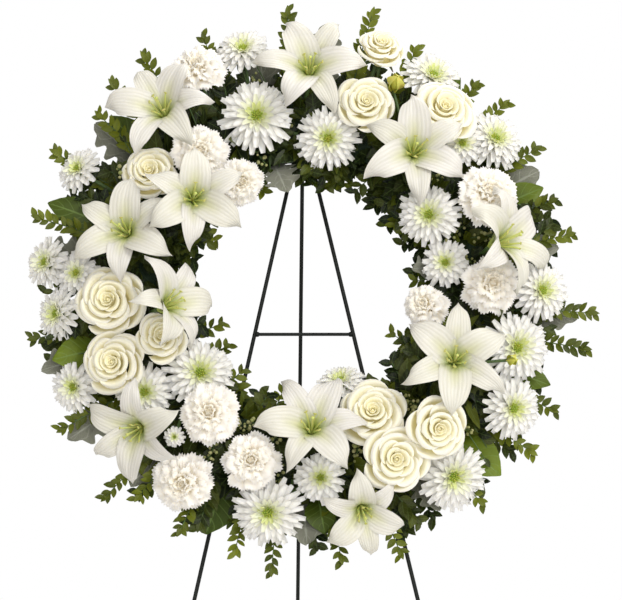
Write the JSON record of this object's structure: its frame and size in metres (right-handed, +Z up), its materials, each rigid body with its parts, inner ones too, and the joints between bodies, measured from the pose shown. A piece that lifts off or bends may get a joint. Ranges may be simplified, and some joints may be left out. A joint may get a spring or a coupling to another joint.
{
  "type": "standing funeral wreath on a wire easel",
  "caption": "Ring of white lilies, roses, carnations and chrysanthemums with green and grey leaves in floral foam, standing on a folding wire easel.",
  "frame": {"origin": "on the floor, under the middle of the whole object's floor plan", "axes": "+Z up; the wreath's face looks along -Y and leans back 12 degrees; +X is to its right as seen from the front"},
  "size_m": [0.6608, 0.5764, 1.3082],
  "materials": {
    "wire": "near-black green enamel, satin",
    "tray": "dark green moulded plastic",
    "foam": "open-celled wet floral foam, matt",
    "mum": "white petals round a yellow-green centre",
    "carnation": "ruffled white petals, cream in the depths",
    "rose": "velvety cream petals, yellower inside",
    "lily": "waxy white tepals with a yellow-green throat",
    "dusty_miller": "grey-green felted leaves",
    "greens": "glossy dark to bright green leaves"
  },
  "bodies": {
    "frame": {"leg_left": "wire", "leg_right": "wire", "crossbar": "wire", "hinge_bar": "wire", "tie_bar": "wire", "prong_left": "wire", "prong_right": "wire", "ring_tray": "tray", "foam_ring": "foam", "mum_spray_01": "mum", "mum_spray_02": "mum", "mum_spray_03": "mum", "mum_spray_04": "mum", "mum_spray_05": "mum", "mum_spray_06": "mum", "mum_spray_07": "mum", "mum_spray_08": "mum", "mum_spray_09": "mum", "mum_spray_10": "mum", "carnation_01": "carnation", "carnation_02": "carnation", "carnation_03": "carnation", "carnation_04": "carnation", "carnation_05": "carnation", "carnation_06": "carnation", "carnation_07": "carnation", "carnation_08": "carnation", "carnation_09": "carnation", "rose_01": "rose", "rose_02": "rose", "rose_03": "rose", "rose_04": "rose", "rose_05": "rose", "rose_06": "rose", "rose_07": "rose", "rose_08": "rose", "rose_09": "rose", "rose_10": "rose", "lily_01": "lily", "lily_02": "lily", "lily_03": "lily", "lily_04": "lily", "lily_05": "lily", "lily_06": "lily", "lily_07": "lily", "lily_08": "lily", "lily_09": "lily", "lily_10": "lily", "lily_11": "lily", "dusty_miller_01": "dusty_miller", "dusty_miller_02": "dusty_miller", "dusty_miller_03": "dusty_miller", "dusty_miller_04": "dusty_miller", "greens_01": "greens", "greens_02": "greens", "greens_03": "greens", "greens_04": "greens", "greens_05": "greens", "greens_06": "greens"},
    "rear_leg": {"leg_rear": "wire"}
  },
  "joints": [
    {"name": "rear_leg_fold", "type": "hinge", "parent": "frame", "child": "rear_leg", "pos_m": [-0.0051, -0.03937, 1.13395], "axis": [1, 0, 0], "range_deg": [-26, 0]}
  ]
}
